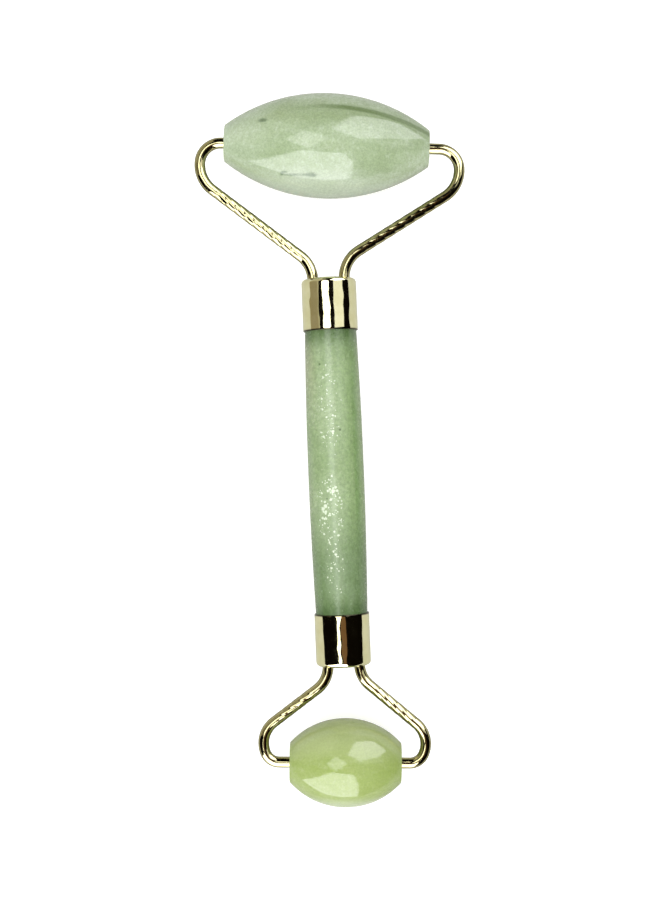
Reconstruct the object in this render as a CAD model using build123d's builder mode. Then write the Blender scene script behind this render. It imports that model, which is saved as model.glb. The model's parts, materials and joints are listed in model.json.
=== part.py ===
"""A jade face roller: a stone handle, two capped wire forks and a stone roller turning in each.

Millimetres. The roller lies on its side. +Y runs along the handle towards the large roller, X across
it in the plane of the forks, and +Z up. The origin is below the middle of the whole length and width,
at the level of the large roller's belly, so both roller axes lie at the height of that roller's radius.
The forks are bent by hand: each stands a few degrees askew on the handle, and its roller with it.
"""
import os
from dataclasses import dataclass
from math import atan2, cos, degrees, radians, sin

from build123d import *

# ---- driving dimensions ------------------------------------------------------------------



@dataclass
class Stone:
    """A roller's barrel, turned from one arc between two flat end faces."""

    length: float  # between the end faces
    belly_d: float
    face_d: float  # diameter of each end face
    slide: float  # where it rests along its pins, from the fork's middle towards +X

    @property
    def barrel_r(self):
        sag = (self.belly_d - self.face_d) / 2
        return (self.length**2 / 4 + sag**2) / (2 * sag)


LARGE_STONE = Stone(length=41.6, belly_d=21.2, face_d=7.4, slide=-0.7)
SMALL_STONE = Stone(length=22.6, belly_d=17.9, face_d=8.0, slide=0.2)
STONE_EDGE = 0.35  # rounding where the barrel meets the end face

# Handle
HANDLE_SHOWN = 57.3  # length of bare stone between the two ferrules
HANDLE_MIDDLE_D = 11.35
HANDLE_MOUTH_D = 10.5  # where the handle enters a ferrule
HANDLE_EDGE = 0.4  # chamfer on the hidden ends

# Ferrules: thin drawn cups, open towards the handle
FERRULE_LENGTH = 10.6
FERRULE_D = 11.15
FERRULE_WALL = 0.25
SHOULDER = 0.9  # outer radius of the cup's closed corner
LIP = 0.1  # rounding of the cup's open edge
LEG_PLAY = 0.05  # radial room around each wire leg in the cup's end wall

# Wire
WIRE_D = 2.2
LEG_SPACING = 6.4  # between the centres of a fork's two legs
LEG_IN_CUP = 1.5  # straight wire inside the cup, before the bridge that joins the legs
TIP_EDGE = 0.3  # rounding of each pin's tip

# Bushes: plain sleeves pressed into the ends of each roller's bore
BUSH_D = 4.0
BUSH_LENGTH = 8.0
RUNNING_PLAY = 0.05  # radial room between a pin and its bush
TIP_INSIDE_BUSH = 1.0  # from a pin's tip to the inner end of its bush

# Cast adhesive in the cups
FILL_BELOW_LIP = 0.4  # from the cup's open edge down to the adhesive
BRIDGE_COVER = 0.4  # adhesive between the wire bridge and the handle's end


LEAN_CENTRE = 6.5  # from a cup's end wall out to the point that a fork's head is turned about


@dataclass
class Fork:
    """A bent wire: a head with two pins and two side bends, and two arms that carry it.

    Lengths are to the wire's centre line, and angles are in degrees.
    """

    reach: float  # from the ferrule's end wall to the pins
    width: float  # between the head's two sides at their widest
    pin_bend: float  # radius of the tight first bend, beside the roller
    pin_turn: float  # angle that it turns through
    side_bend: float  # radius of the wider bend that follows it
    leg_bend: float  # radius of the bend from the arm into the leg
    lean: float  # turn of the head on the handle, positive from +X towards away from the handle

    @property
    def pin_end(self):
        """From the head's middle out to where the straight pin stops."""
        return self.side_across + (self.side_bend - self.pin_bend) * sin(radians(self.pin_turn))

    @property
    def side_across(self):
        """From the head's middle out to the centre of a side bend."""
        return self.width / 2 - self.side_bend

    @property
    def side_back(self):
        """From the pins back to the centre of a side bend."""
        return self.pin_bend + (self.side_bend - self.pin_bend) * cos(radians(self.pin_turn))


LARGE_FORK = Fork(
    reach=27.1, width=52.8, pin_bend=4.2, pin_turn=86, side_bend=6.4, leg_bend=6.4, lean=-3.9
)
SMALL_FORK = Fork(
    reach=19.8, width=32.9, pin_bend=3.0, pin_turn=67, side_bend=5.3, leg_bend=5.8, lean=2.7
)

# ---- places worked out from them ---------------------------------------------------------

CAPPED_HALF = HANDLE_SHOWN / 2 + FERRULE_LENGTH  # from the handle's middle to a cup's end wall
BRIDGE_DEPTH = LEG_IN_CUP + LEG_SPACING / 2 + WIRE_D / 2  # how far a fork reaches into its cup
HANDLE_IN_CUP = FERRULE_LENGTH - BRIDGE_DEPTH - BRIDGE_COVER
HANDLE_HALF = HANDLE_SHOWN / 2 + HANDLE_IN_CUP


def shifted(plane, x=0.0, y=0.0, turn=0.0):
    """A plane moved by x and y in itself, and then turned in itself about its new origin."""
    x_dir = plane.x_dir.rotate(Axis(plane.origin, plane.z_dir), turn)
    return Plane(plane.from_local_coords((x, y, 0)), x_dir=x_dir, z_dir=plane.z_dir)


def head_plane(cup, fork):
    """The plane of a fork's head, with its origin at the middle of the pins and x along them."""
    return shifted(shifted(cup, y=LEAN_CENTRE, turn=fork.lean), y=fork.reach - LEAN_CENTRE)


def flat_planes(handle_middle):
    """The flat planes of the two cups and the two heads. Local y points away from the handle."""
    x, y, z = handle_middle
    upper = Plane(origin=(x, y + CAPPED_HALF, z), x_dir=(1, 0, 0), z_dir=(0, 0, 1))
    lower = Plane(origin=(x, y - CAPPED_HALF, z), x_dir=(1, 0, 0), z_dir=(0, 0, -1))
    return upper, lower, head_plane(upper, LARGE_FORK), head_plane(lower, SMALL_FORK)


def far_y(head, stone):
    """The furthest y that a roller's barrel reaches, away from the handle."""
    arc_centre = head.from_local_coords((stone.slide, stone.belly_d / 2 - stone.barrel_r, 0))
    return abs(arc_centre.Y) + stone.barrel_r


# The handle's middle stands off the origin, which is under the middle of the whole outline. The
# outline's ends are the two barrels, and its sides are the large fork's side bends.
upper_cup, lower_cup, large_head, small_head = flat_planes((0, 0, 0))
LENGTH_ABOVE = far_y(large_head, LARGE_STONE)
LENGTH_BELOW = far_y(small_head, SMALL_STONE)
side_bends = [large_head.from_local_coords((side * LARGE_FORK.side_across, -LARGE_FORK.side_back, 0))
              for side in (-1, 1)]
HANDLE_MIDDLE = (
    -(side_bends[0].X + side_bends[1].X) / 2,
    (LENGTH_BELOW - LENGTH_ABOVE) / 2,
    LARGE_STONE.belly_d / 2,
)
TOTAL_WIDTH = side_bends[1].X - side_bends[0].X + 2 * LARGE_FORK.side_bend + WIRE_D

UPPER_CUP, LOWER_CUP, LARGE_HEAD, SMALL_HEAD = flat_planes(HANDLE_MIDDLE)
LARGE_PLANE = shifted(LARGE_HEAD, x=LARGE_STONE.slide)
SMALL_PLANE = shifted(SMALL_HEAD, x=SMALL_STONE.slide)
HANDLE_PLANE = Plane(origin=HANDLE_MIDDLE, x_dir=(1, 0, 0), z_dir=(0, 0, 1))

os.makedirs("parts", exist_ok=True)


def save(piece, label):
    """Name a finished piece and write its STEP file."""
    piece.part.label = label
    export_step(piece.part, f"parts/{label}.step")


def across(plane):
    """The plane through the same origin that a roller's axis stands upright on."""
    return Plane(plane.origin, x_dir=plane.y_dir, z_dir=plane.x_dir)


def end_wall(cup):
    """The plane of a cup's end wall, facing away from the handle."""
    return Plane(cup.origin, x_dir=cup.x_dir, z_dir=cup.y_dir)


# ---- handle ------------------------------------------------------------------------------

with BuildPart() as handle:
    with BuildSketch(HANDLE_PLANE):
        with BuildLine():
            # One shallow arc through the middle and both mouths, carried on into the cups.
            drop = (HANDLE_MIDDLE_D - HANDLE_MOUTH_D) / 2
            barrel_r = (HANDLE_SHOWN**2 / 4 + drop**2) / (2 * drop)
            end_r = HANDLE_MIDDLE_D / 2 - barrel_r + (barrel_r**2 - HANDLE_HALF**2) ** 0.5
            side = ThreePointArc((end_r, -HANDLE_HALF), (HANDLE_MIDDLE_D / 2, 0), (end_r, HANDLE_HALF))
            Polyline(side @ 1, (0, HANDLE_HALF), (0, -HANDLE_HALF), side @ 0)
        make_face()
    revolve(axis=Axis(HANDLE_PLANE.origin, HANDLE_PLANE.y_dir))
    chamfer(handle.faces().filter_by(GeomType.PLANE).edges(), HANDLE_EDGE)

save(handle, "handle")


# ---- rollers and their bushes ------------------------------------------------------------


def roller_stone(plane, stone):
    """A barrel turned from one arc, with flat end faces and a bore right through."""
    half, face_r = stone.length / 2, stone.face_d / 2
    with BuildPart() as roller:
        with BuildSketch(plane):
            with BuildLine():
                barrel = ThreePointArc((-half, face_r), (0, stone.belly_d / 2), (half, face_r))
                Polyline(barrel @ 1, (half, 0), (-half, 0), barrel @ 0)
            make_face()
        revolve(axis=Axis(plane.origin, plane.x_dir))
        fillet(roller.faces().filter_by(GeomType.PLANE).edges(), STONE_EDGE)
        with BuildSketch(across(plane)):
            Circle(BUSH_D / 2)
        extrude(amount=stone.length, both=True, mode=Mode.SUBTRACT)
    return roller


def roller_bush(plane, length, side):
    """A plain sleeve, flush with the end face on one side, -1 or 1, of a roller."""
    with BuildPart() as bush:
        with BuildSketch(across(plane).offset(side * length / 2)):
            Circle(BUSH_D / 2)
            Circle(WIRE_D / 2 + RUNNING_PLAY, mode=Mode.SUBTRACT)
        extrude(amount=-side * BUSH_LENGTH)
    return bush


save(roller_stone(LARGE_PLANE, LARGE_STONE), "large_roller")
save(roller_stone(SMALL_PLANE, SMALL_STONE), "small_roller")
for side, hand in ((-1, "left"), (1, "right")):
    save(roller_bush(LARGE_PLANE, LARGE_STONE.length, side), f"large_bush_{hand}")
    save(roller_bush(SMALL_PLANE, SMALL_STONE.length, side), f"small_bush_{hand}")


# ---- forks -------------------------------------------------------------------------------


def arm_length_and_slope(cup, head, fork, side):
    """The straight arm on one side touches the side bend and the leg bend, which curve opposite ways.

    The slope is the angle between the arm and the roller's axis.
    """
    side_centre = head.from_local_coords((side * fork.side_across, -fork.side_back, 0))
    leg_centre = cup.from_local_coords((side * (LEG_SPACING / 2 + fork.leg_bend), 0, 0))
    between = side_centre - leg_centre
    both_radii = fork.side_bend + fork.leg_bend
    length = (between.length**2 - both_radii**2) ** 0.5
    rise = atan2(between.dot(head.y_dir), side * between.dot(head.x_dir))
    return length, degrees(rise - atan2(both_radii, length))


def bent_wire(cup, head, fork, stone_length):
    """A whole fork in one wire: on each side a pin, two bends, an arm and a leg, and then a bridge."""
    pin_tip = stone_length / 2 - BUSH_LENGTH + TIP_INSIDE_BUSH
    with BuildPart() as wire:
        with BuildLine(head) as route:
            for side in (1, -1):
                arm_length, slope = arm_length_and_slope(cup, head, fork, side)
                side_turn = 180 - slope - fork.pin_turn
                leg_turn = 90 - slope - side * fork.lean
                pin = Line((side * pin_tip, 0), (side * fork.pin_end, 0))
                bend = JernArc(pin @ 1, pin % 1, fork.pin_bend, -side * fork.pin_turn)
                bend = JernArc(bend @ 1, bend % 1, fork.side_bend, -side * side_turn)
                arm = PolarLine(bend @ 1, arm_length, direction=bend % 1)
                bend = JernArc(arm @ 1, arm % 1, fork.leg_bend, side * leg_turn)
                leg = PolarLine(bend @ 1, LEG_IN_CUP, direction=bend % 1)
            JernArc(leg @ 1, leg % 1, LEG_SPACING / 2, 180)
        with BuildSketch(Plane(route.line @ 0, z_dir=route.line % 0)):
            Circle(WIRE_D / 2)
        sweep(path=route.line)
        fillet(wire.faces().filter_by(GeomType.PLANE).edges(), TIP_EDGE)
    return wire


large_fork = bent_wire(UPPER_CUP, LARGE_HEAD, LARGE_FORK, LARGE_STONE.length)
small_fork = bent_wire(LOWER_CUP, SMALL_HEAD, SMALL_FORK, SMALL_STONE.length)
save(large_fork, "large_fork")
save(small_fork, "small_fork")


# ---- ferrules and the adhesive in them ---------------------------------------------------


def ferrule_cup(end):
    """A thin cup with a rounded closed corner and a hole in its end wall for each leg."""
    outward = Axis(end.origin, end.z_dir)
    with BuildPart() as cup:
        with BuildSketch(end):
            Circle(FERRULE_D / 2)
        extrude(amount=-FERRULE_LENGTH)
        fillet(cup.edges().group_by(outward)[-1], SHOULDER)
        offset(amount=-FERRULE_WALL, openings=cup.faces().sort_by(outward)[0])
        fillet(cup.faces().sort_by(outward)[0].edges(), LIP)
        with BuildSketch(end):
            with GridLocations(LEG_SPACING, 0, 2, 1):
                Circle(WIRE_D / 2 + LEG_PLAY)
        extrude(amount=-2 * FERRULE_WALL, mode=Mode.SUBTRACT)
    return cup


def cup_fill(end, fork):
    """Adhesive that fills a cup around the fork's bridge and the handle's end."""
    with BuildPart() as fill:
        with BuildSketch(end.offset(-FERRULE_WALL)):
            Circle(FERRULE_D / 2 - FERRULE_WALL)
        extrude(amount=-(FERRULE_LENGTH - FERRULE_WALL - FILL_BELOW_LIP))
        fillet(fill.edges().group_by(Axis(end.origin, end.z_dir))[-1], SHOULDER - FERRULE_WALL)
        add(fork.part, mode=Mode.SUBTRACT)
        add(handle.part, mode=Mode.SUBTRACT)
    return fill


save(ferrule_cup(end_wall(UPPER_CUP)), "upper_ferrule")
save(ferrule_cup(end_wall(LOWER_CUP)), "lower_ferrule")
save(cup_fill(end_wall(UPPER_CUP), large_fork), "upper_adhesive")
save(cup_fill(end_wall(LOWER_CUP), small_fork), "lower_adhesive")

print(f"overall length {LENGTH_ABOVE + LENGTH_BELOW:.3f}, width {TOTAL_WIDTH:.3f}")
for name, plane in (("handle", HANDLE_PLANE), ("large roller", LARGE_PLANE), ("small roller", SMALL_PLANE)):
    middle, axis = plane.origin, plane.x_dir
    print(f"{name} middle ({middle.X:.4f}, {middle.Y:.4f}, {middle.Z:.4f}), x ({axis.X:.6f}, {axis.Y:.6f})")
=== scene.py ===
"""The looks of a jade face roller, built around its CAD frame.

The stones, the metal cups, the bent wires and the nylon bushes are rebuilt here as fine meshes on
the frame's own axes, and every visible surface gets a procedural material.
"""
import json
from math import asin, atan2, cos, degrees, hypot, pi, radians, sin, sqrt, tan

import bpy
import numpy as np
from mathutils import Matrix, Vector, noise


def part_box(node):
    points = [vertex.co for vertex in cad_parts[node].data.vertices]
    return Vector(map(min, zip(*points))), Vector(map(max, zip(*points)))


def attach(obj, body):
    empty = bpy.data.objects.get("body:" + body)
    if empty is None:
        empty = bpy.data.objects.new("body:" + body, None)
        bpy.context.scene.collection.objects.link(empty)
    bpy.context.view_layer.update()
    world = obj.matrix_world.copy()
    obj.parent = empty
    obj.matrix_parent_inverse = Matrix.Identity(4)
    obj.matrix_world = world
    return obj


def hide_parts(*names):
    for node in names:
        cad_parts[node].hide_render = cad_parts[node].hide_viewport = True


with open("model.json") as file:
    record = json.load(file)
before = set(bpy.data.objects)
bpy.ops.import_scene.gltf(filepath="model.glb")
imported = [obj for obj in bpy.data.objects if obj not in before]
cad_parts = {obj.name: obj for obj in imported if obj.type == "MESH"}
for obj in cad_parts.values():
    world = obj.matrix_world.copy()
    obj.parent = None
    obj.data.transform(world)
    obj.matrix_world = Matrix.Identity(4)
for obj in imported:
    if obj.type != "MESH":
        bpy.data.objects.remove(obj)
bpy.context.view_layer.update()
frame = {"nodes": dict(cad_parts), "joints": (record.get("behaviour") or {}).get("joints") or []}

MM = 0.001

# ---- sizes, as in the CAD model, in millimetres ------------------------------------------

LARGE_STONE = {"length": 41.6, "belly_r": 10.6, "face_r": 3.7, "slide": -0.7}
SMALL_STONE = {"length": 22.6, "belly_r": 8.95, "face_r": 4.0, "slide": 0.2}
STONE_EDGE = 0.35
BUSH_R = 2.0
BUSH_BORE_R = 1.15
BUSH_LENGTH = 8.0
TIP_INSIDE_BUSH = 1.0
HANDLE_MIDDLE_R = 5.675
HANDLE_MOUTH_R = 5.25
HANDLE_EDGE = 0.4
CUP_R = 5.575
CUP_WALL = 0.25
CUP_SHOULDER = 0.9
CUP_LIP = 0.1
LEG_HOLE_R = 1.15
WIRE_R = 1.1
LEG_SPACING = 6.4
LEG_IN_CUP = 1.5
TIP_EDGE = 0.3
LEAN_CENTRE = 6.5
LARGE_FORK = {
    "reach": 27.1, "width": 52.8, "pin_bend": 4.2, "pin_turn": radians(86), "side_bend": 6.4,
    "leg_bend": 6.4,
}
SMALL_FORK = {
    "reach": 19.8, "width": 32.9, "pin_bend": 3.0, "pin_turn": radians(67), "side_bend": 5.3,
    "leg_bend": 5.8,
}

# ---- places, from the frame --------------------------------------------------------------

UP = Vector((0, 0, 1))
ALONG_HANDLE = Vector((0, 1, 0))
upper_cup_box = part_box("upper_ferrule")
lower_cup_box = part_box("lower_ferrule")
handle_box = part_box("handle")
HANDLE_MIDDLE = (handle_box[0] + handle_box[1]) / 2
HANDLE_HALF = (handle_box[1].y - handle_box[0].y) / 2 / MM
CUP_LENGTH = (upper_cup_box[1].y - upper_cup_box[0].y) / MM
SHOWN_HALF = (upper_cup_box[0].y - lower_cup_box[1].y) / 2 / MM


def frame_of(origin, x_dir, z_dir):
    """A placing from millimetres on its own axes to metres in the shared frame."""
    turn = Matrix((x_dir, z_dir.cross(x_dir), z_dir)).transposed().to_4x4()
    return Matrix.Translation(origin) @ turn


hinges = {joint["child"]: joint for joint in frame["joints"]}
LARGE_AXIS = Vector(hinges["large_roller"]["axis"]).normalized()
SMALL_AXIS = Vector(hinges["small_roller"]["axis"]).normalized()
LARGE_MIDDLE = Vector(hinges["large_roller"]["pos_m"])
SMALL_MIDDLE = Vector(hinges["small_roller"]["pos_m"])
LARGE_PLACE = frame_of(LARGE_MIDDLE, LARGE_AXIS, UP)
SMALL_PLACE = frame_of(SMALL_MIDDLE, SMALL_AXIS, UP)
LARGE_HEAD = frame_of(LARGE_MIDDLE - LARGE_STONE["slide"] * MM * LARGE_AXIS, LARGE_AXIS, UP)
SMALL_HEAD = frame_of(SMALL_MIDDLE - SMALL_STONE["slide"] * MM * SMALL_AXIS, SMALL_AXIS, -UP)
LARGE_LEAN = atan2(LARGE_AXIS.y, LARGE_AXIS.x)
SMALL_LEAN = -atan2(SMALL_AXIS.y, SMALL_AXIS.x)
HANDLE_PLACE = frame_of(HANDLE_MIDDLE, ALONG_HANDLE, UP)
UPPER_MOUTH = frame_of((HANDLE_MIDDLE.x, upper_cup_box[0].y, HANDLE_MIDDLE.z), ALONG_HANDLE, UP)
LOWER_MOUTH = frame_of((HANDLE_MIDDLE.x, lower_cup_box[1].y, HANDLE_MIDDLE.z), -ALONG_HANDLE, UP)


# ---- mesh helpers ------------------------------------------------------------------------

SHARP_ANGLE = radians(35)


def finish_mesh(piece):
    """Smooth shading with the hard corners kept sharp."""
    mesh = piece.data
    mesh.polygons.foreach_set("use_smooth", [True] * len(mesh.polygons))
    mesh.set_sharp_from_angle(angle=SHARP_ANGLE)


def mesh_object(name, points, faces, place):
    """An object from points in millimetres on the axes of its place.

    The turn of the place is put into the mesh, so that the object's own axes stay level with
    the frame's.
    """
    turn = place.to_3x3()
    mesh = bpy.data.meshes.new(name)
    mesh.from_pydata([turn @ Vector(point) * MM for point in points], [], faces)
    mesh.validate()
    piece = bpy.data.objects.new(name, mesh)
    bpy.context.scene.collection.objects.link(piece)
    piece.location = place.translation
    finish_mesh(piece)
    return piece


def arc(centre, radius, start, stop, steps):
    """Points along an arc, both ends included. Angles are in degrees."""
    angles = np.radians(np.linspace(start, stop, steps + 1))
    return [(centre[0] + radius * cos(a), centre[1] + radius * sin(a)) for a in angles]


def straight(start, stop, steps):
    """Points along a line, both ends included."""
    return [tuple(point) for point in np.linspace(start, stop, steps + 1)]


def joined(*stretches):
    """One outline from several stretches, with the points that two share kept once."""
    outline = []
    for stretch in stretches:
        for point in stretch:
            if not outline or hypot(point[0] - outline[-1][0], point[1] - outline[-1][1]) > 1e-4:
                outline.append(point)
    return outline


def skin(rings, sides, looped):
    """Faces between rings of points, with flat ends unless the last ring meets the first."""
    faces = []
    for ring in range(rings if looped else rings - 1):
        this, after = ring * sides, (ring + 1) % rings * sides
        for side in range(sides):
            beside = (side + 1) % sides
            faces.append((this + side, this + beside, after + beside, after + side))
    if not looped:
        faces.append(tuple(reversed(range(sides))))
        faces.append(tuple(range((rings - 1) * sides, rings * sides)))
    return faces


def lathe(name, outline, sides, place, looped, wobble=0.0, wobble_size=1.0, seed=0.0):
    """Turn an outline of (along, radius) points about the local X axis.

    wobble is the most that the surface sinks below its true radius, in hollows of about
    wobble_size, so that it isn't perfectly round.
    """
    points = []
    for along, radius in outline:
        for turn in np.linspace(0, 2 * pi, sides, endpoint=False):
            outward = Vector((0, cos(turn), sin(turn)))
            where = Vector((along, 0, 0)) + outward * radius
            shifted = where / wobble_size + Vector((seed, seed, seed))
            sink = wobble * (0.5 + 0.5 * noise.noise(shifted))
            points.append(where - outward * max(0.0, sink))
    return mesh_object(name, points, skin(len(outline), sides, looped), place)


# ---- stones ------------------------------------------------------------------------------

BORE_EDGE = 0.12
STONE_SIDES = 144
HANDLE_SIDES = 96
STONE_WOBBLE = 0.03  # how far polishing by hand leaves the stones off round


def roller(name, stone, place, seed):
    """A barrel turned from one arc, with rounded rims, flat end faces and a bore right through."""
    half = stone["length"] / 2
    sag = stone["belly_r"] - stone["face_r"]
    barrel_r = (half**2 + sag**2) / (2 * sag)
    barrel_centre = (0, stone["belly_r"] - barrel_r)
    rim_x = half - STONE_EDGE
    rim_y = barrel_centre[1] + sqrt((barrel_r - STONE_EDGE) ** 2 - rim_x**2)
    rim_angle = degrees(atan2(rim_y - barrel_centre[1], rim_x))
    outline = joined(
        arc((-rim_x, rim_y), STONE_EDGE, 180, 180 - rim_angle, 6),
        arc(barrel_centre, barrel_r, 180 - rim_angle, rim_angle, 90),
        arc((rim_x, rim_y), STONE_EDGE, rim_angle, 0, 6),
        straight((half, rim_y), (half, BUSH_R + BORE_EDGE), 3),
        straight((half - BORE_EDGE, BUSH_R), (BORE_EDGE - half, BUSH_R), 8),
        straight((-half, BUSH_R + BORE_EDGE), (-half, rim_y), 3),
    )[:-1]
    return lathe(
        name, outline, STONE_SIDES, place, True, wobble=STONE_WOBBLE, wobble_size=9.0, seed=seed
    )


def handle_rod():
    """One shallow barrel, whose ends hide in the cups."""
    drop = HANDLE_MIDDLE_R - HANDLE_MOUTH_R
    barrel_r = (SHOWN_HALF**2 + drop**2) / (2 * drop)
    barrel_centre = (0, HANDLE_MIDDLE_R - barrel_r)
    end_x = HANDLE_HALF - HANDLE_EDGE
    end_r = barrel_centre[1] + sqrt(barrel_r**2 - end_x**2)
    end_angle = degrees(asin(end_x / barrel_r))
    outline = joined(
        [(-HANDLE_HALF, end_r - HANDLE_EDGE)],
        arc(barrel_centre, barrel_r, 90 + end_angle, 90 - end_angle, 120),
        [(HANDLE_HALF, end_r - HANDLE_EDGE)],
    )
    return lathe(
        "handle_jade", outline, HANDLE_SIDES, HANDLE_PLACE, False,
        wobble=STONE_WOBBLE, wobble_size=7.0, seed=3.0,
    )


large_jade = roller("large_roller_jade", LARGE_STONE, LARGE_PLACE, seed=1.0)
small_jade = roller("small_roller_jade", SMALL_STONE, SMALL_PLACE, seed=2.0)
handle_jade = handle_rod()


# ---- bushes ------------------------------------------------------------------------------

BUSH_SIDES = 64
BUSH_EDGE = 0.1
BUSH_FIT = 0.01  # the sleeve's skin stays this far under the bore's


def bush(name, stone, place, side):
    """A plain sleeve with broken edges, flush with the end face on one side of a roller."""
    outer, inner = BUSH_R - BUSH_FIT, BUSH_BORE_R
    near, far = side * stone["length"] / 2, side * (stone["length"] / 2 - BUSH_LENGTH)
    step = side * BUSH_EDGE
    outline = [
        (far, inner + BUSH_EDGE), (far, outer - BUSH_EDGE),
        (far + step, outer), (near - step, outer),
        (near, outer - BUSH_EDGE), (near, inner + BUSH_EDGE),
        (near - step, inner), (far + step, inner),
    ]
    return lathe(name, outline[::side], BUSH_SIDES, place, True)


bushes = {}
for hand, side in (("left", -1), ("right", 1)):
    large_name, small_name = f"large_bush_{hand}", f"small_bush_{hand}"
    bushes[large_name] = bush(f"{large_name}_nylon", LARGE_STONE, LARGE_PLACE, side)
    bushes[small_name] = bush(f"{small_name}_nylon", SMALL_STONE, SMALL_PLACE, side)


# ---- cups --------------------------------------------------------------------------------

CUP_SIDES = 128
CUP_CENTRE_R = 0.8  # radius of the flat disc in the middle of the end wall
CUP_WOBBLE = 0.018  # how far the drawn metal is off round
DRILL_SIDES = 48


def ferrule(name, place, seed):
    """A thin drawn cup, measured from its mouth, with a hole in its end wall for each leg."""
    inner_r, shoulder_x = CUP_R - CUP_WALL, CUP_LENGTH - CUP_SHOULDER
    inner_shoulder = CUP_SHOULDER - CUP_WALL
    corner_r = CUP_R - CUP_SHOULDER
    outline = joined(
        straight((CUP_LENGTH, CUP_CENTRE_R), (CUP_LENGTH, corner_r), 4),
        arc((shoulder_x, corner_r), CUP_SHOULDER, 0, 90, 12),
        straight((shoulder_x, CUP_R), (CUP_LIP, CUP_R), 24),
        arc((CUP_LIP, CUP_R - CUP_LIP), CUP_LIP, 90, 180, 5),
        arc((CUP_LIP, inner_r + CUP_LIP), CUP_LIP, 180, 270, 5),
        straight((CUP_LIP, inner_r), (shoulder_x, inner_r), 6),
        arc((shoulder_x, corner_r), inner_shoulder, 90, 0, 8),
        straight((CUP_LENGTH - CUP_WALL, corner_r), (CUP_LENGTH - CUP_WALL, CUP_CENTRE_R), 4),
    )
    cup = lathe(
        name, outline[::-1], CUP_SIDES, place, False,
        wobble=CUP_WOBBLE, wobble_size=2.3, seed=seed,
    )
    drills = []
    for side in (-1, 1):
        inside, outside = CUP_LENGTH - 2 * CUP_WALL, CUP_LENGTH + CUP_WALL
        rod = straight((inside, LEG_HOLE_R), (outside, LEG_HOLE_R), 1)
        across = Matrix.Translation((0, side * LEG_SPACING / 2 * MM, 0))
        drill = lathe(f"{name}_drill", rod, DRILL_SIDES, place @ across, False)
        cut = cup.modifiers.new("leg hole", "BOOLEAN")
        cut.operation = "DIFFERENCE"
        cut.solver = "EXACT"
        cut.object = drill
        drills.append(drill)
    bpy.context.view_layer.update()
    drawn = cup.evaluated_get(bpy.context.evaluated_depsgraph_get())
    cup.data = bpy.data.meshes.new_from_object(drawn)
    cup.modifiers.clear()
    for drill in drills:
        bpy.data.objects.remove(drill)
    finish_mesh(cup)
    return cup


upper_cup = ferrule("upper_ferrule_gold", UPPER_MOUTH, seed=4.0)
lower_cup = ferrule("lower_ferrule_gold", LOWER_MOUTH, seed=5.0)


# ---- wires -------------------------------------------------------------------------------

WIRE_SIDES = 80
TWIST_STARTS = 8  # ridges side by side round the wire
TWIST_ANGLE = radians(20)  # between a ridge and the wire's axis
TWIST_DEPTH = 0.06
TWIST_UNEVEN = 0.45  # share of the depth that comes and goes
UNEVEN_ROUND = 3.0  # how much faster it does so round the wire than along it
TWIST_FADE = 2.5  # length over which the grooves run out at each end of an arm
TWIST_STEP = 0.16  # between rings on the arms
WIRE_STEP = 0.3  # between rings elsewhere


def arm_of(fork, lean, side):
    """Length and slope of the straight arm that touches the side bend and the leg bend.

    Local x runs along the pins and y away from the handle. Legs stand in the cup's own axes, which
    the head is turned against by the lean.
    """
    cup_x, cup_y = (cos(lean), -sin(lean)), (sin(lean), cos(lean))
    side_centre = (
        side * (fork["width"] / 2 - fork["side_bend"]),
        -fork["pin_bend"] - (fork["side_bend"] - fork["pin_bend"]) * cos(fork["pin_turn"]),
    )
    out = side * (LEG_SPACING / 2 + fork["leg_bend"])
    leg_centre = (
        out * cup_x[0] - LEAN_CENTRE * cup_y[0],
        out * cup_x[1] - LEAN_CENTRE * cup_y[1] - (fork["reach"] - LEAN_CENTRE),
    )
    dx, dy = side_centre[0] - leg_centre[0], side_centre[1] - leg_centre[1]
    both_radii = fork["side_bend"] + fork["leg_bend"]
    length = sqrt(dx**2 + dy**2 - both_radii**2)
    return length, atan2(dy, side * dx) - atan2(both_radii, length)


def route_moves(fork, lean, pin):
    """The whole wire from its left tip, as (size, turn, grooved).

    A straight run has a length and no turn, and an arc has a radius and a turn.
    """
    halves = []
    for side in (-1, 1):
        length, slope = arm_of(fork, lean, side)
        halves.append([
            (pin, 0, False),
            (fork["pin_bend"], fork["pin_turn"], False),
            (fork["side_bend"], pi - slope - fork["pin_turn"], False),
            (length, 0, True),
            (fork["leg_bend"], slope + side * lean - pi / 2, False),
            (LEG_IN_CUP, 0, False),
        ])
    return halves[0] + [(LEG_SPACING / 2, pi, False)] + halves[1][::-1]


def stations(x, y, heading, moves):
    """Places along the wire as (x, y, heading, groove), with groove from 0 to 1 on the arms."""
    found = [(x, y, heading, 0.0)]
    for size, turn, grooved in moves:
        reach = abs(turn) * size if turn else size
        steps = max(2, round(reach / (TWIST_STEP if grooved else WIRE_STEP)))
        for share in np.linspace(0, 1, steps + 1)[1:]:
            if turn:
                now = heading + turn * share
                radius = size if turn > 0 else -size
                dx = radius * (sin(now) - sin(heading))
                dy = radius * (cos(heading) - cos(now))
                found.append((x + dx, y + dy, now, 0.0))
            else:
                gone = size * share
                groove = min(1.0, gone / TWIST_FADE, (size - gone) / TWIST_FADE) if grooved else 0.0
                found.append((x + gone * cos(heading), y + gone * sin(heading), heading, groove))
        x, y, heading, _ = found[-1]
    return found


def rounded_tip(station, inward):
    """Rings (x, y, heading, radius, groove) from a pin's flat end round onto the wire's side."""
    x, y, heading, _ = station
    rings = []
    for across, back in arc((0, 0), TIP_EDGE, 90, 0, 5):
        gone = inward * (TIP_EDGE - back)
        radius = WIRE_R - TIP_EDGE + across
        rings.append((x + gone * cos(heading), y + gone * sin(heading), heading, radius, 0.0))
    return rings


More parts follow.
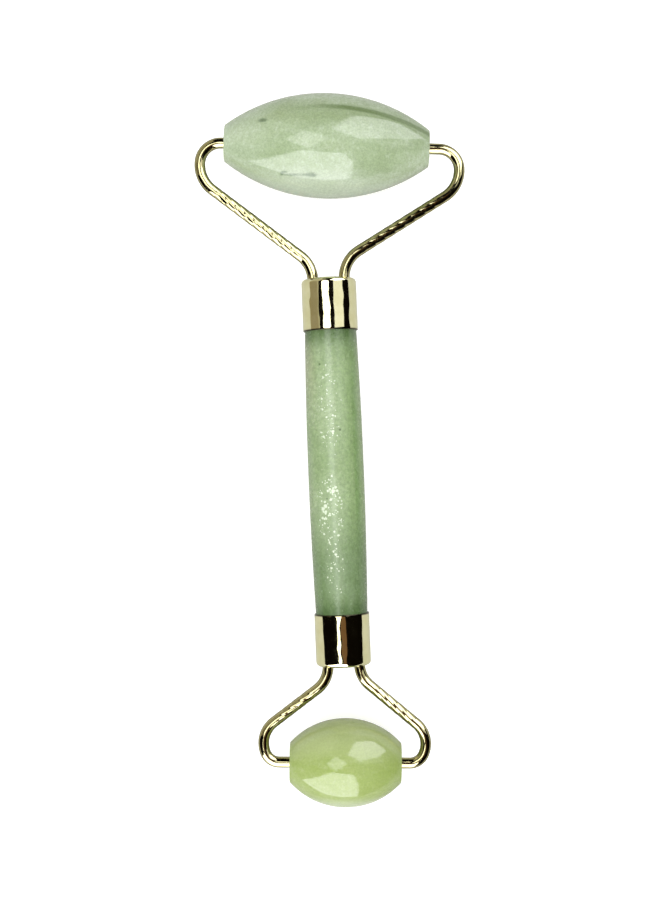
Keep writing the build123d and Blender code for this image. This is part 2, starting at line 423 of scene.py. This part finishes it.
def bent_wire(name, fork, stone, lean, place):
    """A whole fork: a round wire with rounded tips, faintly ridged like a twist along its arms."""
    pin_tip = stone["length"] / 2 - BUSH_LENGTH + TIP_INSIDE_BUSH
    side_across = fork["width"] / 2 - fork["side_bend"]
    pin_end = side_across + (fork["side_bend"] - fork["pin_bend"]) * sin(fork["pin_turn"])
    path = stations(-pin_tip, 0.0, pi, route_moves(fork, lean, pin_end - pin_tip))
    rings = rounded_tip(path[0], 1)
    rings += [(x, y, heading, WIRE_R, groove) for x, y, heading, groove in path[1:-1]]
    rings += rounded_tip(path[-1], -1)[::-1]
    points, gone, last = [], 0.0, rings[0]
    for x, y, heading, radius, groove in rings:
        gone += hypot(x - last[0], y - last[1])
        last = (x, y)
        for turn in np.linspace(0, 2 * pi, WIRE_SIDES, endpoint=False):
            phase = TWIST_STARTS * (turn - gone * tan(TWIST_ANGLE) / WIRE_R)
            where = Vector((gone, UNEVEN_ROUND * cos(turn), UNEVEN_ROUND * sin(turn)))
            uneven = 1 - TWIST_UNEVEN * (0.5 + 0.5 * noise.noise(where))
            here = radius - TWIST_DEPTH * groove * uneven * (1 - abs(cos(phase / 2)))
            out = here * cos(turn)
            points.append((x - out * sin(heading), y + out * cos(heading), here * sin(turn)))
    return mesh_object(name, points, skin(len(rings), WIRE_SIDES, False), place)


large_wire = bent_wire("large_fork_gold", LARGE_FORK, LARGE_STONE, LARGE_LEAN, LARGE_HEAD)
small_wire = bent_wire("small_fork_gold", SMALL_FORK, SMALL_STONE, SMALL_LEAN, SMALL_HEAD)


# ---- material helpers --------------------------------------------------------------------


def colour(red, green, blue):
    """A colour given in the usual 0 to 255 display values, as linear light."""
    linear = []
    for value in (red, green, blue):
        share = value / 255
        linear.append(((share + 0.055) / 1.055) ** 2.4 if value > 10 else share / 12.92)
    return (*linear, 1.0)


class Finish:
    """A material on the Principled shader, with short calls for the nodes used here.

    Patterns are in millimetres from the object's origin. Their X axis runs along the piece, at its
    heading from the frame's X axis.
    """

    def __init__(self, name, heading=0.0):
        self.material = bpy.data.materials.new(name)
        self.material.use_nodes = True
        self.tree = self.material.node_tree
        self.shader = self.tree.nodes["Principled BSDF"]
        level = self.tree.nodes.new("ShaderNodeVectorRotate")
        level.rotation_type = "Z_AXIS"
        level.inputs["Angle"].default_value = -heading
        place = self.tree.nodes.new("ShaderNodeTexCoord")
        self.put(level.inputs["Vector"], place.outputs["Object"])
        self.mm = self.vector("SCALE", level.outputs["Vector"], scale=1 / MM)

    def put(self, socket, value):
        """Give a socket a value, or link it to another socket."""
        if isinstance(value, bpy.types.NodeSocket):
            self.tree.links.new(value, socket)
        else:
            socket.default_value = value

    def set(self, **values):
        """Shader sockets by name, with spaces written as underscores."""
        for name, value in values.items():
            self.put(self.shader.inputs[name.replace("_", " ")], value)

    def vector(self, operation, first, second=None, scale=None):
        """A sum with vectors, which for LENGTH and DOT_PRODUCT gives a number."""
        node = self.tree.nodes.new("ShaderNodeVectorMath")
        node.operation = operation
        self.put(node.inputs[0], first)
        if second is not None:
            self.put(node.inputs[1], second)
        if scale is not None:
            node.inputs["Scale"].default_value = scale
        return node.outputs["Value" if operation in ("LENGTH", "DOT_PRODUCT") else "Vector"]

    def sum(self, operation, first, second, third=None):
        """A sum with numbers."""
        node = self.tree.nodes.new("ShaderNodeMath")
        node.operation = operation
        self.put(node.inputs[0], first)
        self.put(node.inputs[1], second)
        if third is not None:
            self.put(node.inputs[2], third)
        return node.outputs[0]

    def noise(self, size, detail=3.0, rough=0.5, stretch=(1, 1, 1), shift=(0, 0, 0), bend=0.0):
        """Cloudy noise from 0 to 1, with features of size millimetres times the stretch."""
        node = self.tree.nodes.new("ShaderNodeTexNoise")
        node.inputs["Scale"].default_value = 1 / size
        node.inputs["Detail"].default_value = detail
        node.inputs["Roughness"].default_value = rough
        node.inputs["Distortion"].default_value = bend
        where = self.vector("MULTIPLY_ADD", self.mm, tuple(1 / s for s in stretch))
        where.node.inputs[2].default_value = shift
        self.put(node.inputs["Vector"], where)
        return node.outputs["Fac"]

    def cells(self, size, shift=(0, 0, 0)):
        """Distance to the nearest of many scattered points, as a share of their spacing."""
        node = self.tree.nodes.new("ShaderNodeTexVoronoi")
        node.inputs["Scale"].default_value = 1 / size
        self.put(node.inputs["Vector"], self.vector("ADD", self.mm, shift))
        return node.outputs["Distance"]

    def ramp(self, value, low, high, out_low=0.0, out_high=1.0):
        """Smooth step from out_low to out_high as a value goes from low to high."""
        node = self.tree.nodes.new("ShaderNodeMapRange")
        node.interpolation_type = "SMOOTHSTEP"
        for name, given in (("Value", value), ("From Min", low), ("From Max", high),
                            ("To Min", out_low), ("To Max", out_high)):
            self.put(node.inputs[name], given)
        return node.outputs["Result"]

    def mix(self, share, first, second, blend="MIX"):
        """A colour between two, or one multiplied into the other, by a share from 0 to 1."""
        node = self.tree.nodes.new("ShaderNodeMix")
        node.data_type = "RGBA"
        node.blend_type = blend
        self.put(node.inputs["Factor"], share)
        self.put(node.inputs[6], first)
        self.put(node.inputs[7], second)
        return node.outputs[2]

    def along(self, axis):
        """One coordinate, in millimetres."""
        node = self.tree.nodes.new("ShaderNodeSeparateXYZ")
        self.put(node.inputs[0], self.mm)
        return node.outputs[axis]

    def spot(self, centre, radii, soft=0.5, ragged=0.35):
        """1 inside an ellipsoid with an uneven edge, falling to 0 outside it."""
        away = self.vector("SUBTRACT", self.mm, centre)
        away = self.vector("LENGTH", self.vector("DIVIDE", away, radii))
        uneven = self.noise(0.45, detail=3, rough=0.6)
        away = self.sum("MULTIPLY_ADD", uneven, ragged, away)
        return self.ramp(away, 1 + soft + ragged / 2, 1 - soft + ragged / 2)

    def lengthwise_line(self, turn, half_width, start, full):
        """1 on a soft line along the piece, at a turn from its top, which fades in along X."""
        side = self.vector("DOT_PRODUCT", self.mm, (0, cos(turn), -sin(turn)))
        near = self.ramp(self.sum("ABSOLUTE", side, 0.0), half_width, half_width * 0.3)
        up = self.ramp(self.vector("DOT_PRODUCT", self.mm, (0, sin(turn), cos(turn))), 0.0, 1.0)
        shown = self.sum("MULTIPLY", up, self.ramp(self.along("X"), start, full))
        return self.sum("MULTIPLY", near, shown)

    def speckled(self, body, size, depth):
        """A colour made darker and lighter in fine speckles, by up to a depth as a share."""
        fine = self.noise(size, detail=3, rough=0.7)
        return self.mix(1.0, body, self.ramp(fine, 0.3, 0.7, 1 - depth, 1 + depth), "MULTIPLY")

    def relief(self, height, depth):
        """Bump from a height of 0 to 1 that stands for a depth in millimetres."""
        node = self.tree.nodes.new("ShaderNodeBump")
        node.inputs["Distance"].default_value = depth * MM
        self.put(node.inputs["Height"], height)
        self.put(self.shader.inputs["Normal"], node.outputs["Normal"])


# ---- jade --------------------------------------------------------------------------------

JADE_DEPTH = 1.2 * MM  # how far light strays inside the stone


def jade(
    name, heading, pale, mid, deep, milky, shift,
    cloud=7.0, polish=(0.04, 0.08), grainy=1.0, ior=1.5,
):
    """Polished jade: clouds of pale and deep stone, milky streaks along it, and a fine grain."""
    stone = Finish(name, heading)
    clouds = stone.noise(cloud, detail=4, rough=0.5, stretch=(1.7, 1, 1), shift=shift, bend=0.3)
    body = stone.mix(stone.ramp(clouds, 0.32, 0.66), deep, mid)
    patches = stone.noise(cloud * 1.8, detail=2, rough=0.5, shift=shift[::-1])
    body = stone.mix(stone.ramp(patches, 0.42, 0.68), body, pale)
    streaks = stone.noise(1.9, detail=4, rough=0.55, stretch=(5.5, 1, 1), shift=shift, bend=0.25)
    body = stone.mix(stone.ramp(streaks, 0.48, 0.78, 0.0, 0.5), body, milky)
    darker = stone.noise(1.1, detail=3, rough=0.6, stretch=(9, 1, 1), shift=shift[::-1], bend=0.2)
    body = stone.mix(stone.ramp(darker, 0.6, 0.82, 0.0, 0.3), body, deep)
    mottle = stone.noise(0.8, detail=4, rough=0.65, stretch=(1, 1.4, 1.4), shift=shift)
    body = stone.mix(stone.ramp(mottle, 0.36, 0.64, 0.36 * grainy, 0.0), body, deep)
    body = stone.mix(stone.ramp(mottle, 0.55, 0.75, 0.0, 0.3 * grainy), body, milky)
    grain = stone.noise(0.24, detail=3, rough=0.7, shift=shift)
    body = stone.mix(stone.ramp(grain, 0.28, 0.72, 0.26 * grainy, 0.0), body, deep)
    rubbed = stone.noise(1.3, detail=4, rough=0.6)
    stone.set(
        Roughness=stone.ramp(rubbed, 0.3, 0.7, *polish), IOR=ior, Subsurface_Weight=0.3,
        Subsurface_Radius=(0.9, 1.0, 0.8), Subsurface_Scale=JADE_DEPTH,
    )
    pits = stone.noise(0.5, detail=5, rough=0.65)
    stone.relief(stone.ramp(pits, 0.2, 0.8), 0.004)
    return stone, body


def large_stone_finish():
    """Pale, cool milky green with a dark fleck and a broken dark vein, plus painted light: a dark
    painted reflection along the top and a paler lit lower side.
    """
    stone, body = jade(
        "large_jade_stone", LARGE_LEAN, pale=colour(182, 194, 168), mid=colour(168, 182, 151),
        deep=colour(148, 164, 128), milky=colour(190, 200, 178), shift=(3.1, 7.4, 1.2), grainy=1.4,
    )
    # Painted reflection: a darker band along the top stands for the dark room mirrored between the
    # bright rim and the window highlight.
    painted_dark_band = stone.spot((-1.0, 5.2, 8.6), (13.0, 2.6, 4.5), soft=0.6)
    uneven = stone.noise(2.6, detail=4, rough=0.6, stretch=(1.6, 1, 1))
    uneven = stone.ramp(uneven, 0.3, 0.7, 0.45, 0.95)
    body = stone.mix(stone.sum("MULTIPLY", painted_dark_band, uneven), body, colour(144, 160, 120))
    # Painted reflection: a dark line along the top side, where the dark room is mirrored between
    # the rim and the window highlight.
    line = stone.lengthwise_line(radians(37), 0.95, -7.0, 5.0)
    body = stone.mix(stone.sum("MULTIPLY", line, 0.85), body, colour(108, 126, 84))
    # Painted light: the lower side is made paler, as if lit from that side.
    painted_lit_side = stone.ramp(stone.along("Y"), -5.0, -9.5, 0.0, 0.42)
    body = stone.mix(painted_lit_side, body, colour(198, 207, 192))
    paler_end = stone.ramp(stone.along("X"), -9.0, -17.0, 0.0, 0.22)
    body = stone.mix(paler_end, body, colour(192, 202, 182))
    fleck = stone.spot((-12.8, 3.4, 7.4), (0.85, 0.4, 1.4), soft=0.5, ragged=0.8)
    body = stone.mix(stone.sum("MULTIPLY", fleck, 0.75), body, colour(88, 106, 78))
    vein_tone = colour(104, 122, 94)
    breaks = stone.noise(0.7, detail=3, rough=0.6, shift=(1.0, 2.0, 3.0))
    breaks = stone.ramp(breaks, 0.38, 0.55, 0.45, 1.0)
    vein = stone.spot((-5.6, -7.2, 7.15), (3.5, 0.22, 1.8), soft=0.6, ragged=1.0)
    vein = stone.sum("MULTIPLY", stone.sum("MULTIPLY", vein, breaks), 0.7)
    body = stone.mix(vein, body, vein_tone)
    for centre, radii in (
        ((-8.7, -7.0, 6.4), (0.35, 0.3, 1.4)), ((-8.2, -6.7, 6.7), (0.6, 0.2, 1.4)),
        ((-2.9, -7.2, 7.6), (0.75, 0.42, 1.4)), ((-2.2, -7.35, 7.6), (0.4, 0.25, 1.4)),
    ):
        blot = stone.spot(centre, radii, soft=0.7, ragged=0.5)
        body = stone.mix(stone.sum("MULTIPLY", blot, 0.75), body, vein_tone)
    stone.set(Base_Color=stone.speckled(body, 0.4, 0.12))
    return stone.material


def small_stone_finish():
    """Clear yellow-green, deeper towards one end, with its lower side painted paler as if lit."""
    stone, body = jade(
        "small_jade_stone", -SMALL_LEAN, pale=colour(174, 186, 133), mid=colour(159, 173, 112),
        deep=colour(147, 164, 94), milky=colour(184, 193, 150), shift=(8.3, 2.2, 5.1), cloud=5.5,
        ior=1.53,
    )
    deeper = stone.ramp(stone.along("X"), -2.0, 10.0, 0.0, 0.45)
    body = stone.mix(deeper, body, colour(146, 164, 90))
    upper_side = stone.ramp(stone.along("Y"), 0.5, 5.0, 0.0, 0.6)
    body = stone.mix(upper_side, body, colour(176, 188, 134))
    # Painted light: the lower side is made paler, as if lit from that side.
    painted_lit_side = stone.ramp(stone.along("Y"), -5.5, -8.2, 0.0, 0.7)
    body = stone.mix(painted_lit_side, body, colour(190, 201, 166))
    stone.set(Base_Color=stone.speckled(body, 0.4, 0.06))
    return stone.material


def handle_stone_finish():
    """Mid-green with scattered white crystals; painted shade darkens one side and, with some grime,
    the stone beside the cups, and a painted dark reflection runs down one side.
    """
    stone, body = jade(
        "handle_jade_stone", radians(90), pale=colour(160, 175, 138), mid=colour(146, 164, 122),
        deep=colour(132, 153, 108), milky=colour(166, 181, 146), shift=(5.6, 1.9, 9.7), cloud=6.0,
        polish=(0.19, 0.29), grainy=2.3,
    )
    # Painted shade: the side away from the light is made darker.
    side_shade = stone.ramp(stone.along("Y"), 0.5, -5.0, 0.0, 0.75)
    body = stone.mix(side_shade, body, colour(133, 158, 105))
    warm = stone.ramp(stone.along("Y"), 2.6, 5.2, 0.0, 0.8)
    warm = stone.sum("MULTIPLY", warm, stone.ramp(stone.along("X"), 8.0, 26.0))
    body = stone.mix(warm, body, colour(160, 164, 132))
    # Painted reflection: a dark green line down one side, where the stone mirrors something dark.
    off_painted_streak = stone.sum("ABSOLUTE", stone.sum("ADD", stone.along("Y"), 4.2), 0.0)
    body = stone.mix(stone.ramp(off_painted_streak, 0.8, 0.1, 0.0, 0.5), body, colour(98, 132, 68))
    low_shade = stone.ramp(stone.along("X"), -5.0, -20.0, 0.0, 0.85)
    body = stone.mix(low_shade, body, colour(104, 126, 86))
    # Painted shade with some grime: darker where the stone goes into each cup, darkest at the
    # mouth.
    from_middle = stone.sum("ABSOLUTE", stone.along("X"), 0.0)
    cup_shade_and_grime = stone.ramp(from_middle, 20.0, SHOWN_HALF, 0.0, 0.75)
    body = stone.mix(cup_shade_and_grime, body, colour(104, 126, 84))
    mouth_shade_and_grime = stone.ramp(from_middle, SHOWN_HALF - 4.0, SHOWN_HALF, 0.0, 0.9)
    body = stone.mix(mouth_shade_and_grime, body, colour(74, 98, 54))
    body = stone.speckled(body, 0.6, 0.14)
    patch = stone.spot((-8.2, 1.5, 4.8), (9.0, 3.0, 3.4), soft=0.5, ragged=0.9)
    thin = stone.spot((12.0, 1.0, 5.0), (12.0, 2.8, 3.4), soft=0.5, ragged=0.8)
    tail = stone.spot((-19.5, 0.9, 5.0), (7.0, 2.2, 3.4), soft=0.4, ragged=0.8)
    sparser = stone.sum("MULTIPLY", stone.sum("MAXIMUM", thin, tail), 0.8)
    elsewhere = stone.noise(5.0, detail=2, rough=0.5, stretch=(2.2, 1, 1))
    elsewhere = stone.ramp(elsewhere, 0.5, 0.75, 0.0, 0.7)
    where = stone.sum("MAXIMUM", stone.sum("MAXIMUM", patch, sparser), elsewhere)
    body = stone.mix(stone.sum("MULTIPLY", where, 0.25), body, colour(178, 192, 164))
    clumps = stone.noise(1.6, detail=2, rough=0.6, shift=(7.0, 0.0, 3.0))
    where = stone.sum("MULTIPLY", where, stone.ramp(clumps, 0.38, 0.58, 0.45, 1.0))
    chipped = stone.sum("MULTIPLY", stone.noise(0.3, detail=2, rough=0.6), 0.3)
    for size, reach in ((1.35, 0.55), (0.95, 0.57), (0.6, 0.59)):
        away = stone.sum("ADD", stone.cells(size, shift=(size, 5, 1)), chipped)
        gap = stone.sum("SUBTRACT", stone.sum("MULTIPLY", where, reach), away)
        body = stone.mix(stone.ramp(gap, -0.1, 0.02, 0.0, 0.22), body, colour(112, 134, 90))
        body = stone.mix(stone.ramp(gap, 0.0, 0.15, 0.0, 0.8), body, colour(220, 229, 206))
    flecks = stone.ramp(stone.cells(7.5, shift=(4.0, 9.0, 1.0)), 0.04, 0.025, 0.0, 0.7)
    stone.set(Base_Color=stone.mix(flecks, body, colour(84, 102, 68)))
    return stone.material


# ---- metal, nylon and resin --------------------------------------------------------------


MOUTH_LINE = 0.28  # width of the painted shade in the gap round each cup's mouth
HAIRLINES = 0.0012  # depth of the scratches
WAVES = 0.14  # depth of the waves that polishing leaves


def gold_finish(name, heading, tones, stretch, polish, mouth, edge_tint):
    """Pale champagne plating, polished, with hairlines, slow waves and a slightly uneven tone.

    mouth is for the cups: their joint with the stone, at their origin, gets a dark line of painted
    shade for the gap.
    edge_tint is how much of the reflection is left near the outline.
    """
    metal = Finish(name, heading)
    tone = metal.noise(2.4, detail=4, rough=0.6)
    base = metal.mix(metal.ramp(tone, 0.3, 0.7), *tones)
    worn = metal.ramp(metal.noise(0.8, detail=6, rough=0.7), 0.62, 0.78, 0.0, 0.3)
    base = metal.mix(worn, base, colour(186, 172, 116))
    if mouth:
        # Painted shade: a dark line round the mouth, where the gap between cup and stone lies in
        # shadow.
        off_mouth = metal.sum("ABSOLUTE", metal.along("X"), 0.0)
        gap_shade = metal.ramp(off_mouth, MOUTH_LINE * 1.5, MOUTH_LINE * 0.5)
        base = metal.mix(metal.sum("MULTIPLY", gap_shade, 0.92), base, colour(26, 22, 12))
    hairs = metal.noise(0.09, detail=4, rough=0.7, stretch=stretch)
    smear = metal.noise(1.7, detail=3, rough=0.6, shift=(2.0, 2.0, 8.0))
    smear = metal.ramp(smear, 0.35, 0.75, 0.0, 0.04)
    rough = metal.sum("ADD", metal.ramp(hairs, 0.35, 0.75, *polish), smear)
    metal.set(Base_Color=base, Metallic=1.0, Roughness=rough, Specular_Tint=edge_tint)
    waves = metal.noise(2.6, detail=1, rough=0.4, stretch=(1.4, 1, 1), shift=(4.0, 1.0, 6.0))
    metal.relief(metal.sum("MULTIPLY_ADD", waves, WAVES / HAIRLINES, hairs), HAIRLINES)
    return metal.material


def nylon_finish():
    """Off-white moulded nylon, slightly mottled, and grey where it rubs."""
    nylon = Finish("bush_nylon")
    mottle = nylon.noise(0.8, detail=4, rough=0.6)
    base = nylon.mix(nylon.ramp(mottle, 0.3, 0.7), colour(226, 222, 208), colour(240, 238, 228))
    rubbed = nylon.ramp(nylon.noise(0.3, detail=4, rough=0.7), 0.55, 0.75, 0.0, 0.5)
    nylon.set(Base_Color=nylon.mix(rubbed, base, colour(196, 192, 178)), Subsurface_Weight=0.15,
              Subsurface_Radius=(1.0, 0.9, 0.8), Subsurface_Scale=0.5 * MM,
              Roughness=nylon.ramp(mottle, 0.3, 0.7, 0.38, 0.52))
    nylon.relief(mottle, 0.01)
    return nylon.material


def resin_finish():
    """Cast amber adhesive, cloudy, with a wavy poured surface."""
    resin = Finish("adhesive_resin")
    cloud = resin.noise(1.8, detail=4, rough=0.6)
    base = resin.mix(resin.ramp(cloud, 0.3, 0.7), colour(196, 176, 112), colour(218, 204, 150))
    bubbles = resin.ramp(resin.cells(0.9), 0.2, 0.08, 0.0, 0.6)
    resin.set(Base_Color=resin.mix(bubbles, base, colour(236, 230, 200)), Subsurface_Weight=0.3,
              Subsurface_Radius=(1.0, 0.8, 0.4), Subsurface_Scale=1.0 * MM,
              Roughness=resin.ramp(cloud, 0.3, 0.7, 0.12, 0.25))
    resin.relief(cloud, 0.08)
    return resin.material


cup_gold = gold_finish(
    "gold_plate_cup", radians(90), (colour(226, 220, 172), colour(236, 231, 188)),
    stretch=(1, 14, 14), polish=(0.03, 0.09), mouth=True, edge_tint=(1, 1, 1, 1),
)
wire_gold = gold_finish(
    "gold_plate_wire", 0.0, (colour(178, 171, 126), colour(193, 186, 142)),
    stretch=(9, 9, 1), polish=(0.05, 0.12), mouth=False, edge_tint=(0, 0, 0, 1),
)
nylon = nylon_finish()
resin = resin_finish()


def place_piece(piece, finish, node, body):
    """Give a piece its material and its body, and hide the CAD node that it stands for."""
    piece.data.materials.clear()
    piece.data.materials.append(finish)
    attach(piece, body)
    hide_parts(node)


place_piece(large_jade, large_stone_finish(), "large_roller", "large_roller")
place_piece(small_jade, small_stone_finish(), "small_roller", "small_roller")
place_piece(handle_jade, handle_stone_finish(), "handle", "frame")
place_piece(upper_cup, cup_gold, "upper_ferrule", "frame")
place_piece(lower_cup, cup_gold, "lower_ferrule", "frame")
place_piece(large_wire, wire_gold, "large_fork", "frame")
place_piece(small_wire, wire_gold, "small_fork", "frame")
for node, piece in bushes.items():
    body = "large_roller" if node.startswith("large") else "small_roller"
    place_piece(piece, nylon, node, body)
for node in ("upper_adhesive", "lower_adhesive"):
    plain = frame["nodes"][node].data.materials
    plain.clear()
    plain.append(resin)


# ---- floor and light ---------------------------------------------------------------------

FLOOR_HALF = 1.5  # metres
FLOOR_IN_MIRROR = colour(186, 186, 182)  # the floor as polished surfaces see it
FLOOR_GLOW = 0.3  # keeps the far floor and the shadows pale
FLOOR_AS_BOUNCE = colour(158, 158, 154)  # the floor as it lights matt surfaces
floor_mesh = bpy.data.meshes.new("floor")
corners = [(x * FLOOR_HALF, y * FLOOR_HALF, 0) for x, y in ((-1, -1), (1, -1), (1, 1), (-1, 1))]
floor_mesh.from_pydata(corners, [], [(0, 1, 2, 3)])
floor = bpy.data.objects.new("floor", floor_mesh)
bpy.context.scene.collection.objects.link(floor)
paper = Finish("pale_floor")
fibre = paper.noise(2.0, detail=5, rough=0.6)
sheet = paper.mix(fibre, colour(245, 245, 242), colour(248, 248, 246))
rays = paper.tree.nodes.new("ShaderNodeLightPath")
unseen = paper.mix(rays.outputs["Is Glossy Ray"], FLOOR_AS_BOUNCE, FLOOR_IN_MIRROR)
paper.set(Base_Color=paper.mix(rays.outputs["Is Camera Ray"], unseen, sheet), Roughness=0.75)
paper.set(Specular_IOR_Level=0.2, Emission_Color=sheet)
paper.set(Emission_Strength=paper.sum("MULTIPLY", rays.outputs["Is Camera Ray"], FLOOR_GLOW))
floor_mesh.materials.append(paper.material)

CAMERA_SKY = (1.0, 1.0, 1.0)  # past the floor's edge
SOFT_SKY = (0.58, 0.59, 0.60)  # lights matt surfaces
DARK_ROOM = (0.003, 0.002, 0.001)  # what polished surfaces mirror between the panes
DAYLIGHT = (0.98, 0.97, 1.03)
WINDOW_DISTANCE = 1.4  # metres, like the other places of lights
TAN_CARD_DISTANCE = 1.6  # behind the strip in front of it
SKYLIGHT_HEIGHT = 3.0
BROWN_CARD_HEIGHT = 2.9


def room_light():
    """A pale room for the eye and for matt surfaces, which polished ones see as a dim one."""
    world = bpy.data.worlds.new("room")
    world.use_nodes = True
    tree = world.node_tree
    rays = tree.nodes.new("ShaderNodeLightPath")
    soft = tree.nodes.new("ShaderNodeRGB")
    soft.outputs[0].default_value = (*SOFT_SKY, 1)
    seen = soft.outputs[0]
    for ray, sky in (("Is Glossy Ray", DARK_ROOM), ("Is Camera Ray", CAMERA_SKY)):
        mix = tree.nodes.new("ShaderNodeMix")
        mix.data_type = "RGBA"
        tree.links.new(rays.outputs[ray], mix.inputs["Factor"])
        tree.links.new(seen, mix.inputs[6])
        mix.inputs[7].default_value = (*sky, 1)
        seen = mix.outputs[2]
    tree.links.new(seen, tree.nodes["Background"].inputs["Color"])
    bpy.context.scene.world = world


def lamp(name, centre, size, radiance, shadows=True):
    """A square lamp that faces the object, for matt surfaces alone."""
    light = bpy.data.lights.new(name, "AREA")
    light.shape = "RECTANGLE"
    light.size = light.size_y = size
    light.energy = radiance * pi * size**2
    rig = bpy.data.objects.new(name, light)
    bpy.context.scene.collection.objects.link(rig)
    back = Vector(centre).normalized()
    level = Vector((1, 0, 0)) if abs(back.z) > 0.99 else UP.cross(back).normalized()
    turn = Matrix((level, back.cross(level), back)).transposed().to_4x4()
    rig.matrix_world = Matrix.Translation(centre) @ turn
    light.use_shadow = shadows
    rig.visible_camera = False
    rig.visible_glossy = False
    rig.visible_transmission = False


def beyond(*directions, distance=WINDOW_DISTANCE):
    """Points in directions given in degrees, from +X round and from the horizon up."""
    points = []
    for azimuth, elevation in directions:
        turn, rise = radians(azimuth), radians(elevation)
        points.append(Vector((cos(rise) * cos(turn), cos(rise) * sin(turn), sin(rise))) * distance)
    return points


def overhead(height, *corners):
    """Points at one height above the floor."""
    return [(x, y, height) for x, y in corners]


def pane(name, corners, radiance, tint=(1, 1, 1)):
    """A glowing flat patch that only polished surfaces see, as a window or a lit card."""
    mesh = bpy.data.meshes.new(name)
    mesh.from_pydata(corners, [], [tuple(range(len(corners)))])
    glow = bpy.data.materials.new(name)
    glow.use_nodes = True
    nodes = glow.node_tree.nodes
    nodes.remove(nodes["Principled BSDF"])
    light = nodes.new("ShaderNodeEmission")
    light.inputs["Color"].default_value = (*tint, 1)
    light.inputs["Strength"].default_value = radiance
    glow.node_tree.links.new(light.outputs[0], nodes["Material Output"].inputs["Surface"])
    mesh.materials.append(glow)
    card = bpy.data.objects.new(name, mesh)
    bpy.context.scene.collection.objects.link(card)
    card.visible_camera = False
    card.visible_diffuse = False
    card.visible_shadow = False


# Two windows and a skylight make the highlights, and the cards tone the rest of the reflections.
room_light()
pane(
    "window_a", beyond((72, 25), (50, 6), (27, 10), (18, 32), (22, 66), (80, 62)), 4.2, DAYLIGHT
)
pane(
    "window_b",
    beyond((-143, 4), (-110, 1), (-81, 1), (-76, 24), (-70, 42), (-66, 64), (-140, 64)),
    4.8, DAYLIGHT,
)
pane(
    "ceiling_square",
    overhead(SKYLIGHT_HEIGHT, (-1.68, 0.345), (-0.77, -0.74), (0.14, 0.345), (-0.77, 1.43)),
    3.5,
)
pane("pale_card", beyond((1, 30), (17, 30), (24, 71), (3, 71)), 1.1)
pane(
    "tan_card", beyond((179, 0), (179, 43), (105, 43), (105, 0), distance=TAN_CARD_DISTANCE),
    0.52, (1.0, 0.94, 0.74),
)
pane("brown_strip", beyond((179, 1), (179, 40), (148, 40), (148, 1)), 0.35, (1.0, 0.87, 0.64))
pane(
    "brown_card",
    overhead(BROWN_CARD_HEIGHT, (-0.2, 0.05), (0.75, 0.05), (0.75, -1.0), (-0.2, -1.0)),
    0.19, (1.0, 0.54, 0.28),
)
lamp("soft_box", (0.0, 0.0, 1.5), size=2.2, radiance=1.9)
lamp("side_fill", (-0.55, -1.0, 0.6), size=1.0, radiance=2.4, shadows=False)


# ---- camera ------------------------------------------------------------------------------

# Millimetres from the floor under the handle's middle.
EYE = Vector((0.0, 2.5, 345.0)) * MM
AIM = Vector((-1.07, 4.5, 10.6)) * MM
ROLL = radians(2.27)
SENSOR_HEIGHT = 24.0  # millimetres, like the lens
LENS = 43.86

camera_data = bpy.data.cameras.new("camera")
camera_data.sensor_fit = "VERTICAL"
camera_data.sensor_height = SENSOR_HEIGHT
camera_data.lens = LENS
camera_data.clip_start = 0.01
camera = bpy.data.objects.new("camera", camera_data)
bpy.context.scene.collection.objects.link(camera)
back = (EYE - AIM).normalized()
right = Vector((sin(ROLL), cos(ROLL), 0)).cross(back).normalized()
turn = Matrix((right, back.cross(right), back)).transposed().to_4x4()
under_middle = Vector((HANDLE_MIDDLE.x, HANDLE_MIDDLE.y, 0))
camera.matrix_world = Matrix.Translation(under_middle + EYE) @ turn
bpy.context.scene.camera = camera
bpy.context.scene.view_settings.view_transform = "Standard"
